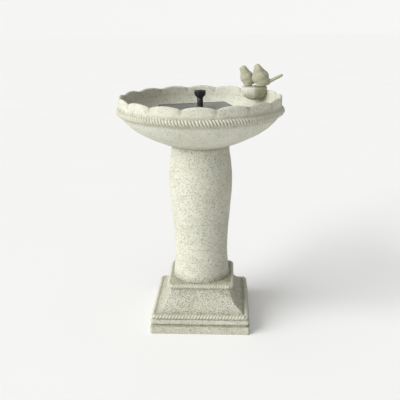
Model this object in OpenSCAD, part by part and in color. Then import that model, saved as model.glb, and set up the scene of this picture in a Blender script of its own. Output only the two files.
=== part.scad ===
// Solar bird bath: a hollow square base with rope mouldings, a round column, a scalloped bowl with
// a perch and two birds, and a drop-in solar fountain. Millimetres, +Z up, front towards -Y.
// The origin is on the column's axis at ground level.

/* [Base] */
// Side of the square foot slab
slab_side = 285; // [277:2:293]
// Thickness of the cast walls of the base
base_wall = 11; // [9:0.5:12]
// Half width of the square head under the column
head_half = 95.5; // [93:0.5:98]

/* [Column] */
// Radius of the column's flared foot
foot_r = 82.4; // [80:0.1:85]
// Radius of the column's waist, above the foot
waist_r = 76.6; // [75:0.1:79]
// Radius of the column's belly
belly_r = 90; // [86:0.5:92]
// Radius of the column's neck under the bowl
neck_r = 82; // [80:0.5:84]
// Wall of the hollow column
column_wall = 8; // [7:0.5:9]

/* [Bowl] */
// Radius of the bowl's wall above the rope band
rim_r = 224; // [218:1:228]
// Height of the scallop peaks above ground
rim_z = 657.5; // [654:0.5:660]
// Depth of the scallops between two peaks
scallop_drop = 6.5; // [4:0.5:8]
// Number of scallops round the rim
scallops = 16; // [12:2:20]
// Thickness of the bowl's wall
bowl_wall = 10; // [9:0.5:11]

/* [Perch] */
// Radius of the round perch
perch_r = 38; // [36:1:39]
// Direction of the perch round the rim, in degrees from +X
perch_angle = 37.8; // [36:0.2:39]

/* [Fountain] */
// Side of the square solar panel
panel_side = 197; // [188:1:202]
// Turn of the panel about the bowl's axis, in degrees
panel_turn = 17; // [0:1:45]
// Radius of the spray head's rim
head_r = 16; // [14:0.5:18]

/* [Hidden] */
$fn = 96;
fit = 0.05; // running clearance of a shaft or socket, on the radius
gap = 0.3; // clearance between pieces that lift apart
groove_z = 22; // top of the slab
bead_z = 25; // underside of the plain rounded moulding
lower_rope_z = 42;
bell_z = 56; // top of the lower rope
upper_rope_z = 117.5;
deck_z = 130; // the column stands here
deck_t = 8.5;
bolt_r = 3;
bolt_ring = 48;
bolt_angles = [90, 210, 330];
flange_top = 142;
spigot_r = 61.5;
bowl_z = 521.5; // the bowl rests on the column here
spigot_z = bowl_z - 20; // lower end of the bowl's spigot
socket_z = bowl_z - 26; // lower end of the socket in the column
floor_z = 539.5; // inside floor of the bowl
rope_z = 618; // centre of the bowl's rope band
rope_bead_r = 9;
perch_top = 665;
perch_bottom = 627;
perch_ring = 191.6; // distance of the perch from the bowl's axis
perch_x = perch_ring * cos(perch_angle);
perch_y = perch_ring * sin(perch_angle);
near_bird_at = [168.6, 107.8];
far_bird_at = [130.4, 127];
// heights of the fountain above the bowl's floor
panel_z = 82; // top of the panel's glass
frame_z = 73; // underside of the panel's tray
body_r = 30; // radius of the pump
body_z = 42; // underside of the pump's body
duct_y = 23; // water duct beside the motor
rotor_top = 66;

stone = [0.88, 0.87, 0.80];
black = [0.10, 0.10, 0.11];
steel = [0.72, 0.72, 0.74];

// ---- shared shapes ----

// A square ring moulding: a block whose four sides are half-round beads.
module square_bead(half, z, d) {
    intersection_for (turn = [0, 90])
        rotate([90, 0, turn])
            linear_extrude(2 * half + 2, center = true)
                translate([0, z + d / 2]) {
                    square([2 * half - d, d], center = true);
                    for (side = [-1, 1]) translate([side * (half - d / 2), 0]) circle(d / 2);
                }
}

module block(half, z0, z1) {
    translate([-half, -half, z0]) cube([2 * half, 2 * half, z1 - z0]);
}

// A solid that is square in plan, with the same outline from the front and from the side.
function both_sides(line) = concat(line, [for (i = [len(line) - 1:-1:0]) [-line[i][0], line[i][1]]]);
module square_plan(line) {
    intersection_for (turn = [0, 90])
        rotate([90, 0, turn])
            linear_extrude(slab_side, center = true)
                polygon(both_sides(line));
}

// Smooth curve through a few control points: n steps between each pair.
function spline_at(p, i, t) =
    let (a = p[max(0, i - 1)], b = p[i], c = p[i + 1], d = p[min(len(p) - 1, i + 2)])
        0.5 * (2 * b + (c - a) * t + (2 * a - 5 * b + 4 * c - d) * t * t
            + (3 * b - a - 3 * c + d) * t * t * t);
function spline(p, n) = concat(
    [for (i = [0:len(p) - 2], k = [0:n - 1]) spline_at(p, i, k / n)],
    [p[len(p) - 1]]
);

// ---- pedestal ----

// Bell of the base: half width and height, hollow-curved from the lower rope up to the head.
bell = [[128, bell_z - 8], [126.5, bell_z - 3], [118, 60.5], [111.5, 65], [106, 70], [101.5, 75],
    [97, 81], [92.5, 90], [88.5, 102], [86, 114], [85.5, upper_rope_z + 2]];

module base_plinth() {
    half = slab_side / 2;
    color(stone)
    difference() {
        union() {
            block(half, 0, groove_z);
            block(half - 6, groove_z - 1, bead_z + 4);
            square_bead(half - 2.5, bead_z, lower_rope_z - bead_z);
            square_bead(half - 4.5, lower_rope_z, bell_z - lower_rope_z);
            square_plan(bell);
            square_bead(head_half, upper_rope_z, deck_z - upper_rope_z);
        }
        // open hollow under the deck
        block(half - base_wall - 1, -1, lower_rope_z - 1);
        square_plan(concat(
            [[128 - base_wall, lower_rope_z - 2]],
            [for (p = bell) if (p[1] > bell_z - 4 && p[1] < 110) [p[0] - base_wall, p[1]]],
            [[85.5 - base_wall, deck_z - deck_t]]
        ));
        for (a = bolt_angles)
            rotate(a) translate([bolt_ring, 0, deck_z - 20]) cylinder(r = bolt_r + 0.5, h = 30);
    }
}

// Outline of the column: flared foot, waist, a slow swell to the belly and a draw-in to the neck.
column_top = bowl_z - gap;
column_line = spline([[foot_r, deck_z], [waist_r + 2, 170], [waist_r, 214], [waist_r + 2.2, 270],
    [belly_r - 6, 330], [belly_r, 410], [belly_r - 3, 468], [neck_r, 503], [neck_r, column_top]], 3);

module column() {
    color(stone)
    difference() {
        rotate_extrude()
            polygon(concat(
                column_line,
                [[spigot_r + 0.5, column_top], [spigot_r + 0.5, socket_z]],
                [for (i = [len(column_line) - 1:-1:0])
                    let (p = column_line[i])
                        if (p[1] > flange_top + 8 && p[1] < socket_z - 8) [p[0] - column_wall, p[1]]],
                [[foot_r - column_wall - 2, flange_top], [30, flange_top], [30, deck_z]]
            ));
        for (a = bolt_angles)
            rotate(a) translate([bolt_ring, 0, deck_z - 1]) cylinder(r = 5.5, h = 20);
    }
}

module column_inserts() {
    color("goldenrod")
    for (a = bolt_angles) rotate(a) translate([bolt_ring, 0, 0])
        difference() {
            translate([0, 0, deck_z]) cylinder(r = 5.5, h = flange_top - deck_z);
            translate([0, 0, deck_z - 1]) cylinder(r = bolt_r + fit, h = 20);
        }
}

module column_washers() {
    color(steel)
    for (a = bolt_angles) rotate(a) translate([bolt_ring, 0, deck_z - deck_t - 1.6])
        difference() {
            cylinder(r = 9, h = 1.6);
            translate([0, 0, -1]) cylinder(r = bolt_r + 0.3, h = 4);
        }
}

module column_bolts() {
    head_top = deck_z - deck_t - 1.6;
    color(steel)
    for (a = bolt_angles) rotate(a) translate([bolt_ring, 0, head_top]) {
        translate([0, 0, -4]) cylinder(r = 5.6, h = 4, $fn = 6);
        translate([0, 0, -1]) cylinder(r = bolt_r, h = 21);
    }
}

// ---- bowl ----

inner_r = rim_r - bowl_wall;
bowl_outside = spline([[neck_r, bowl_z], [115, 533], [147, 548], [177, 564.5], [202, 585],
    [rim_r - 6, 604], [rim_r, 619]], 4);
bowl_inside = spline([[95, floor_z], [120, 546], [145, 558.5], [172, 574], [194, 593],
    [inner_r - 5, 611], [inner_r, 629]], 4);
lobe_step = 360 / scallops;
notch_phase = -99.5; // one valley lies just left of the front
lobe_half = rim_r * sin(lobe_step / 2);
lobe_r = (lobe_half * lobe_half + scallop_drop * scallop_drop) / (2 * scallop_drop);

// Profile of the notch between two arched scallops, measured from the peaks down.
notch_steps = 9;
function notch_depth(x) = lobe_r - sqrt(lobe_r * lobe_r - pow(lobe_half - x, 2));

// One notch: the profile run out along the radius.
module notch() {
    reach = 0.96 * lobe_half;
    translate([inner_r - 20, 0, rim_z])
        rotate([90, 0, 90])
            linear_extrude(bowl_wall + 40)
                polygon(concat(
                    [[-reach, 5]],
                    [for (i = [-notch_steps:notch_steps])
                        let (x = reach * i / notch_steps) [x, -notch_depth(abs(x))]],
                    [[reach, 5]]
                ));
}

module bowl() {
    color(stone)
    difference() {
        union() {
            rotate_extrude()
                polygon(concat(
                    [[0, bowl_z]],
                    bowl_outside,
                    [[rim_r, 629], [inner_r, 629]],
                    [for (i = [len(bowl_inside) - 2:-1:0]) bowl_inside[i]],
                    [[0, floor_z]]
                ));
            rotate_extrude()
                translate([rim_r - 1.5, rope_z]) circle(rope_bead_r);
            // upright rim with a rounded lip
            rotate_extrude() {
                translate([inner_r, 624]) square([bowl_wall, rim_z - 624 - bowl_wall / 2]);
                translate([inner_r + bowl_wall / 2, rim_z - bowl_wall / 2]) circle(bowl_wall / 2);
            }
            // spigot that drops into the column
            translate([0, 0, spigot_z]) cylinder(r = spigot_r, h = 21);
        }
        // recess inside the spigot, so that its wall is even
        translate([0, 0, spigot_z - 1]) cylinder(r = spigot_r - 10, h = 30);
        for (k = [0:scallops - 1]) rotate(notch_phase + k * lobe_step) notch();
        perch_pin_places() translate([0, 0, 637]) cylinder(r = 2 + fit, h = 30);
    }
}

module perch_pin_places() {
    for (side = [-1, 1])
        rotate(perch_angle + side * 4) translate([rim_r - bowl_wall / 2, 0, 0]) children();
}

// The perch: a round corbel with a domed underside, notched to straddle the rim.
perch_edge = 3;
perch_line = concat(
    [for (a = [0:10:90]) [perch_r * sin(a), perch_top - 8 - (perch_top - 8 - perch_bottom) * cos(a)]],
    [[perch_r, perch_top - perch_edge], [perch_r - 1, perch_top - 1], [perch_r - perch_edge, perch_top]],
    [[0, perch_top]]
);

module perch() {
    color(stone)
    difference() {
        translate([perch_x, perch_y, 0]) rotate_extrude() polygon(perch_line);
        rotate_extrude()
            translate([inner_r - gap, 580]) square([bowl_wall + 30, rim_z + gap - 580]);
        perch_pin_places() translate([0, 0, 637]) cylinder(r = 2 + fit, h = 24.5);
        bird_places() translate([0, 0, perch_top - 13]) cylinder(r = 1.5 + fit, h = 30);
    }
}

module bird_places() {
    for (at = [near_bird_at, far_bird_at]) translate([at[0], at[1], 0]) children();
}

module perch_pins() {
    color(steel)
    perch_pin_places() translate([0, 0, 639]) cylinder(r = 2, h = 22);
}

module bird_pins() {
    color(steel)
    bird_places() translate([0, 0, perch_top - 11]) cylinder(r = 1.5, h = 34);
}

// A small bird facing -X with its tail raised, standing at its own origin.
module bird(height, breast, reach, head, head_x, tail, tail_lift) {
    $fn = 28;
    tail_z = 0.3 * height;
    difference() {
        union() {
            hull() {
                translate([-reach, 0, 0.42 * height]) sphere(breast);
                translate([reach, 0, 0.36 * height]) sphere(breast - 1);
                translate([2, 0, 3]) cylinder(r = 12, h = 2);
            }
            hull() {
                translate([head_x, 0, height - head]) sphere(head);
                translate([head_x + 3, 0, 0.6 * height]) sphere(head + 3);
            }
            // beak
            translate([head_x + 2 - head, 0, height - head])
                rotate([0, -90, 0]) cylinder(r1 = 3, r2 = 0.8, h = 7);
            hull() {
                translate([reach + 6, 0, tail_z]) sphere(6);
                translate([reach + 6 + tail * cos(tail_lift), 0, tail_z + tail * sin(tail_lift)])
                    sphere(3.5);
            }
        }
        // flat foot on the perch
        translate([-60, -60, -60]) cube([120, 120, 60]);
        translate([0, 0, -1]) cylinder(r = 1.5 + fit, h = 30, $fn = 48);
    }
}

module near_bird() {
    color(stone)
    translate([near_bird_at[0], near_bird_at[1], perch_top]) bird(66, 15, 9, 8.3, -8, 47, 20);
}

module far_bird() {
    color(stone)
    translate([far_bird_at[0], far_bird_at[1], perch_top]) bird(60, 14, 5.5, 10.3, -9, 30, 6);
}

// ---- solar panel ----

// The fountain stands on the bowl's floor.
module on_floor() {
    translate([0, 0, floor_z]) children();
}

module panel_turned() {
    rotate(panel_turn) children();
}

module plate(side, z0, z1, hole) {
    difference() {
        translate([-side / 2, -side / 2, z0]) cube([side, side, z1 - z0]);
        translate([0, 0, z0 - 1]) cylinder(r = hole, h = z1 - z0 + 2);
    }
}

screw_places = [for (x = [-1, 1], y = [-1, 1]) [x * (panel_side / 2 - 7), y * (panel_side / 2 - 7)]];

module panel_tray() {
    color(black)
    on_floor()
    panel_turned() difference() {
        union() {
            plate(panel_side - 3, frame_z, frame_z + 2, 7);
            for (p = screw_places) translate([p[0], p[1], frame_z + 1]) cylinder(r = 3.6, h = 2.4);
            difference() {
                translate([0, 0, frame_z + 1]) cylinder(r = 11.5, h = 2.4);
                translate([0, 0, frame_z]) cylinder(r = 7, h = 9);
            }
        }
        for (p = screw_places) translate([p[0], p[1], frame_z - 1]) cylinder(r = 1.3, h = 9);
        // holes for the screws and leads from the pump below
        for (a = pump_screw_angles) rotate(a - panel_turn)
            translate([pump_screw_ring, 0, frame_z - 1]) cylinder(r = 1.3, h = 9);
        rotate(-panel_turn) for (x = lead_x)
            translate([x, lead_y, frame_z - 1]) cylinder(r = 1.2, h = 9);
    }
}

module panel_frame() {
    color(black)
    on_floor()
    panel_turned() difference() {
        translate([-panel_side / 2, -panel_side / 2, frame_z])
            cube([panel_side, panel_side, panel_z - frame_z]);
        // room for the tray below and the glass above
        translate([0, 0, frame_z - 1])
            linear_extrude(3) square(panel_side - 3 + 0.2, center = true);
        translate([0, 0, frame_z])
            linear_extrude(20) square(panel_side - 24, center = true);
        translate([0, 0, panel_z - 2.2])
            linear_extrude(5) square(panel_side - 4, center = true);
        for (p = screw_places) translate([p[0], p[1], frame_z]) cylinder(r = 3.7, h = 3.5);
        for (p = screw_places) translate([p[0], p[1], frame_z]) cylinder(r = 1.5 + fit, h = 6.6);
    }
}

module panel_glass() {
    color([0.35, 0.37, 0.42])
    on_floor()
    panel_turned() plate(panel_side - 4.4, panel_z - 2.1, panel_z - 0.1, 9.2);
}

cell_gap = 2;
cell_side = (panel_side - 28 - 3 * cell_gap) / 4;

module solar_cells() {
    color([0.08, 0.09, 0.16])
    on_floor()
    panel_turned() difference() {
        for (i = [0:3], j = [0:3])
            translate([(i - 1.5) * (cell_side + cell_gap) - cell_side / 2,
                (j - 1.5) * (cell_side + cell_gap) - cell_side / 2, panel_z - 3])
                cube([cell_side, cell_side, 0.5]);
        translate([0, 0, panel_z - 5]) cylinder(r = 13, h = 9);
    }
}

module cell_backing() {
    color([0.85, 0.85, 0.82])
    on_floor()
    panel_turned() plate(panel_side - 25, panel_z - 4.8, panel_z - 3.2, 9.2);
}

module cell_ribbons() {
    color(steel)
    on_floor()
    panel_turned()
        for (i = [0:3], j = [0:2], side = [-1, 1])
            translate([(i - 1.5) * (cell_side + cell_gap) + side * cell_side / 4 - 0.8,
                (j - 1) * (cell_side + cell_gap) - 7, panel_z - 2.45])
                cube([1.6, 14, 0.25]);
}

module tray_screws() {
    color(steel)
    on_floor()
    panel_turned() for (p = screw_places) translate([p[0], p[1], 0]) {
        translate([0, 0, frame_z - 1.4]) cylinder(r = 2.6, h = 1.4);
        translate([0, 0, frame_z - 1]) cylinder(r = 1.25, h = 7.5);
    }
}

module tray_seal() {
    color([0.15, 0.15, 0.15])
    on_floor()
    panel_turned() translate([0, 0, frame_z + 2.05])
        linear_extrude(2.1)
            difference() {
                square(panel_side - 25, center = true);
                square(panel_side - 31, center = true);
            }
}

// ---- pump ----

pump_screw_ring = 26;
pump_screw_angles = [150, 270, 30];
lead_x = [-14, -10];
lead_y = 21;

module pump_body() {
    color(black)
    on_floor()
    difference() {
        union() {
            translate([0, 0, body_z]) cylinder(r = body_r, h = frame_z - body_z);
            // outlet nipple, through the panel
            translate([0, 0, frame_z - 1]) cylinder(r = 6, h = 22);
        }
        // motor chamber, open at the bottom except for a wall round the rotor and the duct
        difference() {
            translate([0, 0, 50]) cylinder(r = body_r - 2, h = 16.8);
            translate([0, 0, 42]) cylinder(r = 10, h = 40);
            translate([0, duct_y, 42]) cylinder(r = 5.5, h = 40);
            for (a = pump_screw_angles)
                rotate(a) translate([pump_screw_ring, 0, 42]) cylinder(r = 3.4, h = 40);
        }
        // impeller chamber and rotor well
        translate([0, 0, body_z - 1]) cylinder(r = 15.5, h = 7.5);
        translate([0, 0, body_z]) cylinder(r = 8.5, h = rotor_top - body_z);
        // water way: out of the chamber, up beside the motor, across and out through the nipple
        translate([-2.2, 0, 43.5]) cube([4.4, duct_y, 3.6]);
        translate([0, duct_y, 42.6]) cylinder(r = 3, h = 28.8);
        translate([-2, 0, 67.8]) cube([4, duct_y, 3]);
        translate([0, 0, 67.2]) cylinder(r = 4, h = 40);
        for (a = pump_screw_angles)
            rotate(a) translate([pump_screw_ring, 0, 32]) cylinder(r = 1.5, h = 60);
        for (x = lead_x) translate([x, lead_y, 62]) cylinder(r = 1.2, h = 20);
    }
}

// Laminated claw ring round the rotor, with six inward teeth.
module stator_core() {
    color([0.45, 0.46, 0.48])
    on_floor()
    translate([0, 0, 53]) difference() {
        cylinder(r = 19.4, h = 8);
        difference() {
            translate([0, 0, -1]) cylinder(r = 17, h = 10);
            for (a = [0:60:300]) rotate(a) translate([10.2, -1.5, -2]) cube([8, 3, 12]);
        }
        translate([0, 0, -1]) cylinder(r = 10.2, h = 10);
        translate([0, duct_y, -1]) cylinder(r = 5.7, h = 10);
    }
}

module stator_coils() {
    color([0.72, 0.42, 0.2])
    on_floor()
    for (a = [0:60:300]) rotate(a) translate([11.4, 0, 57])
        difference() {
            translate([0, -3.2, -5.4]) cube([4.8, 6.4, 10.8]);
            translate([-1, -1.6, -4.1]) cube([9, 3.2, 8.2]);
        }
}

module stator_potting() {
    color([0.16, 0.17, 0.18])
    on_floor()
    difference() {
        translate([0, 0, 50]) cylinder(r = body_r - 2.1, h = 2.4);
        translate([0, 0, 42]) cylinder(r = 10.1, h = 40);
        translate([0, duct_y, 42]) cylinder(r = 5.6, h = 40);
        for (a = pump_screw_angles)
            rotate(a) translate([pump_screw_ring, 0, 42]) cylinder(r = 3.5, h = 40);
        for (a = [0:60:300]) rotate(a) translate([11.2, -3.4, 51.4]) cube([5.2, 6.8, 10]);
    }
}

module control_board() {
    color([0.1, 0.35, 0.2])
    on_floor()
    difference() {
        union() {
            translate([0, 0, 62.5]) cylinder(r = 24, h = 1.6);
            for (a = [200:40:340]) rotate(a) translate([14, -2, 64]) cube([5, 4, 1.8]);
        }
        translate([0, 0, 52]) cylinder(r = 10.2, h = 40);
        translate([0, duct_y, 52]) cylinder(r = 5.8, h = 40);
        for (a = pump_screw_angles)
            rotate(a) translate([pump_screw_ring, 0, 52]) cylinder(r = 3.6, h = 40);
    }
}

// Two short wires straight up from the board to the back of the cells.
module panel_leads() {
    color("firebrick")
    on_floor()
    for (x = lead_x) translate([x, lead_y, 64.2]) cylinder(r = 0.9, h = panel_z - 4.9 - 64.2);
}

module pump_plate() {
    color(black)
    on_floor()
    difference() {
        translate([0, 0, body_z - 3]) cylinder(r = body_r, h = 2.9);
        difference() {
            translate([0, 0, body_z - 5]) cylinder(r = 8, h = 9);
            translate([0, 0, body_z - 5]) cylinder(r = 3.6, h = 9);
            for (a = [30, 150, 270]) rotate(a) translate([0, -1, body_z - 5]) cube([9, 2, 9]);
        }
        translate([0, 0, body_z - 5]) cylinder(r = 2.5, h = 9);
        for (a = pump_screw_angles)
            rotate(a) translate([pump_screw_ring, 0, 32]) cylinder(r = 1.5, h = 60);
        // groove of the seal
        difference() {
            translate([0, 0, body_z - 1.3]) cylinder(r = 19.2, h = 3);
            translate([0, 0, body_z - 2]) cylinder(r = 17.3, h = 5);
        }
    }
}

module pump_seal() {
    color([0.75, 0.25, 0.12])
    on_floor()
    translate([0, 0, body_z - 0.6]) rotate_extrude() translate([18.25, 0]) circle(0.6);
}

module pump_screws() {
    color(steel)
    on_floor()
    for (a = pump_screw_angles) rotate(a) translate([pump_screw_ring, 0, 0]) {
        translate([0, 0, body_z - 4.6]) cylinder(r = 2.6, h = 1.5);
        translate([0, 0, body_z - 4]) cylinder(r = 1.3 - fit, h = 36.8);
    }
}

module upper_bush() {
    color([0.2, 0.2, 0.2])
    on_floor()
    translate([0, 0, 62.7]) difference() {
        cylinder(r = 8.45, h = 3.2);
        translate([0, 0, -1]) cylinder(r = 1.5 + 0.01, h = 9);
    }
}

module lower_bush() {
    color([0.2, 0.2, 0.2])
    on_floor()
    translate([0, 0, body_z - 3]) difference() {
        cylinder(r = 2.45, h = 2.9);
        translate([0, 0, -1]) cylinder(r = 1.5 + 0.01, h = 9);
    }
}

module rotor_shaft() {
    color([0.92, 0.92, 0.9])
    on_floor()
    translate([0, 0, body_z - 3]) cylinder(r = 1.5, h = 26.5);
}

module impeller() {
    color([0.85, 0.85, 0.83])
    on_floor()
    difference() {
        union() {
            translate([0, 0, 46]) cylinder(r = 13.5, h = 1.4);
            translate([0, 0, 43.2]) cylinder(r = 4, h = 19);
            for (a = [0:60:300]) rotate(a) translate([3.6, -0.7, 43.2]) cube([9.6, 1.4, 3.4]);
        }
        translate([0, 0, 32]) cylinder(r = 1.5 + fit, h = 40);
    }
}

module rotor_magnet() {
    color([0.25, 0.25, 0.27])
    on_floor()
    translate([0, 0, 49.4]) difference() {
        cylinder(r = 8, h = 12.4);
        translate([0, 0, -1]) cylinder(r = 4.02, h = 20);
    }
}

module thrust_washers() {
    color([0.9, 0.88, 0.8])
    on_floor()
    for (z = [47.6, 61.95]) translate([0, 0, z]) difference() {
        cylinder(r = 6.5, h = z < 52 ? 1.6 : 0.2);
        translate([0, 0, -1]) cylinder(r = 4.02, h = 9);
    }
}

// ---- intake ----

cage_z = 8;

module filter_cage() {
    color(black)
    on_floor()
    difference() {
        translate([0, 0, cage_z]) cylinder(r = body_r, h = body_z - 3.1 - cage_z);
        translate([0, 0, cage_z + 2]) cylinder(r = body_r - 2, h = 60);
        for (a = [0:20:340]) rotate(a)
            translate([body_r - 5, -1.6, cage_z + 4]) cube([9, 3.2, 20]);
        for (a = foot_angles) rotate(a) translate([20, 0, cage_z - 1]) cylinder(r = 2.6, h = 9);
        // room for the heads of the pump's screws
        for (a = pump_screw_angles)
            rotate(a) translate([pump_screw_ring, 0, body_z - 5]) cylinder(r = 3, h = 9);
    }
}

module filter_sponge() {
    color([0.12, 0.12, 0.13])
    on_floor()
    translate([0, 0, cage_z + 2.2]) difference() {
        cylinder(r = body_r - 2.3, h = 24);
        translate([0, 0, 3]) cylinder(r = 9, h = 40);
        for (a = foot_angles) rotate(a) translate([20, 0, -1]) cylinder(r = 4.4, h = 3.2);
    }
}

foot_angles = [90, 210, 330];

module suction_feet() {
    color([0.2, 0.2, 0.2])
    on_floor()
    for (a = foot_angles) rotate(a) translate([20, 0, 0])
        rotate_extrude()
            polygon([[0, 2], [5, gap], [8, gap], [7, 2],
                [3.4, 5], [3.4, cage_z - 0.1], [2.5, cage_z - 0.1], [2.5, cage_z + 2.1],
                [4, cage_z + 2.1], [2.5, cage_z + 3.6], [0, cage_z + 3.6]]);
}

// ---- spray nozzle ----

riser_z = 82.5;
head_z = 110;
head_top = 130;

module riser_tube() {
    color(black)
    on_floor()
    difference() {
        union() {
            translate([0, 0, riser_z]) cylinder(r = 8.3, h = head_z - riser_z - gap);
            translate([0, 0, head_z - 1]) cylinder(r = 5.4, h = 8);
        }
        translate([0, 0, riser_z - 1]) cylinder(r = 6 + fit, h = 12.8);
        translate([0, 0, riser_z]) cylinder(r = 3.6, h = 60);
        // groove of the seal
        difference() {
            translate([0, 0, head_z + 2]) cylinder(r = 8, h = 1.8);
            translate([0, 0, head_z]) cylinder(r = 4.4, h = 6);
        }
    }
}

module riser_seal() {
    color([0.2, 0.2, 0.2])
    on_floor()
    translate([0, 0, head_z + 2.9]) rotate_extrude() translate([4.92, 0]) circle(0.5);
}

module spray_head() {
    color(black)
    on_floor()
    difference() {
        rotate_extrude()
            polygon([[0, head_z], [8.3, head_z], [head_r - 1.2, head_z + 8], [head_r, head_top - 1.5],
                [head_r, head_top], [0, head_top]]);
        translate([0, 0, head_z - 1]) cylinder(r = 5.4 + fit, h = 8.5);
        translate([0, 0, head_z]) cylinder(r = 4.2, h = 12);
        translate([0, 0, head_z + 11]) cylinder(r = head_r - 4, h = 60);
    }
}

module spray_plate() {
    color([0.16, 0.16, 0.17])
    on_floor()
    difference() {
        union() {
            translate([0, 0, head_top - 3]) cylinder(r = head_r - 4 - fit, h = 2.4);
            translate([0, 0, head_top - 2]) cylinder(r = 4, h = 3);
        }
        translate([0, 0, head_top - 9]) cylinder(r = 1.2, h = 20);
        for (a = [0:45:315]) rotate(a) translate([8, 0, head_top - 9]) cylinder(r = 0.8, h = 20, $fn = 24);
    }
}

base_plinth();
column();
column_inserts();
column_washers();
column_bolts();
bowl();
perch();
perch_pins();
near_bird();
far_bird();
bird_pins();
panel_tray();
panel_frame();
panel_glass();
solar_cells();
cell_backing();
cell_ribbons();
tray_screws();
tray_seal();
pump_body();
stator_core();
stator_coils();
stator_potting();
control_board();
panel_leads();
pump_plate();
pump_seal();
pump_screws();
upper_bush();
lower_bush();
rotor_shaft();
filter_sponge();
filter_cage();
suction_feet();
impeller();
rotor_magnet();
thrust_washers();
riser_tube();
riser_seal();
spray_head();
spray_plate();
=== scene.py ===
"""Looks of the solar bird bath: cast stone with twisted rope mouldings, a scalloped bowl, two birds
on a perch, and a small solar fountain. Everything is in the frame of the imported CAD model."""

import math

import bpy
import numpy as np
from mathutils import Matrix, Vector, noise


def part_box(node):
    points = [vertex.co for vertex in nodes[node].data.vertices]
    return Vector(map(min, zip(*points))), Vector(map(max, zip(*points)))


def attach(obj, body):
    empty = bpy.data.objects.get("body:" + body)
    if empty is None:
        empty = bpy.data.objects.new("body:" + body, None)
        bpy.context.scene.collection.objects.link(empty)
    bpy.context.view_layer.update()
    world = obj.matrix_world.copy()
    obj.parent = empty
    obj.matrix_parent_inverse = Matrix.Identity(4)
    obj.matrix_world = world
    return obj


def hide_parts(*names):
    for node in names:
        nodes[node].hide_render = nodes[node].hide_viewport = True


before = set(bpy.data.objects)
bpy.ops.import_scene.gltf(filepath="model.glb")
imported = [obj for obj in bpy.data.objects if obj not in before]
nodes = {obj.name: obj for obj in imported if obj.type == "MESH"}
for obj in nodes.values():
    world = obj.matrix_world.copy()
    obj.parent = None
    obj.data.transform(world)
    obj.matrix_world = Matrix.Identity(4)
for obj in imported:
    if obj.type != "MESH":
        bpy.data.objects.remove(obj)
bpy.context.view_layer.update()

MM = 0.001


def node_box(name):
    """Lowest and highest corner of a CAD node in millimetres."""
    low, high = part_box(name)
    return np.array(low) / MM, np.array(high) / MM


# ---------------------------------------------------------------- camera, light and floor

# The viewpoint: metres from the axis and above the ground, and the camera's turns.
AZIMUTH = math.radians(2.8)  # from the front towards +X
REACH = 1.6795
HEIGHT = 0.885
PITCH = math.radians(17.5)  # downwards
ROLL = math.radians(-0.5)
YAW = 0.0016
SENSOR = 36.0
LENS = 54.9


def make_camera():
    data = bpy.data.cameras.new("camera")
    camera = bpy.data.objects.new("camera", data)
    bpy.context.scene.collection.objects.link(camera)
    camera.location = (REACH * math.sin(AZIMUTH), -REACH * math.cos(AZIMUTH), HEIGHT)
    heading = AZIMUTH + YAW
    ahead = Vector((
        -math.sin(heading) * math.cos(PITCH),
        math.cos(heading) * math.cos(PITCH),
        -math.sin(PITCH),
    ))
    look = ahead.to_track_quat("-Z", "Y").to_matrix() @ Matrix.Rotation(ROLL, 3, "Z")
    camera.rotation_euler = look.to_euler()
    data.sensor_width = SENSOR
    data.lens = LENS
    data.clip_start = 0.1
    data.clip_end = 200
    bpy.context.scene.camera = camera


def make_sun(name, azimuth, elevation, strength, spread, colour):
    """Azimuth is measured from the front (-Y) towards -X, in degrees."""
    data = bpy.data.lights.new(name, "SUN")
    data.energy = strength
    data.angle = math.radians(spread)
    data.color = colour
    lamp = bpy.data.objects.new(name, data)
    bpy.context.scene.collection.objects.link(lamp)
    a, e = math.radians(azimuth), math.radians(elevation)
    towards = Vector((-math.sin(a) * math.cos(e), -math.cos(a) * math.cos(e), math.sin(e)))
    lamp.rotation_euler = towards.to_track_quat("Z", "Y").to_euler()


def make_world(colour, strength):
    world = bpy.data.worlds.new("studio")
    world.use_nodes = True
    background = world.node_tree.nodes["Background"]
    background.inputs["Color"].default_value = (*colour, 1)
    background.inputs["Strength"].default_value = strength
    bpy.context.scene.world = world


# ---------------------------------------------------------------- material helpers


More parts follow.
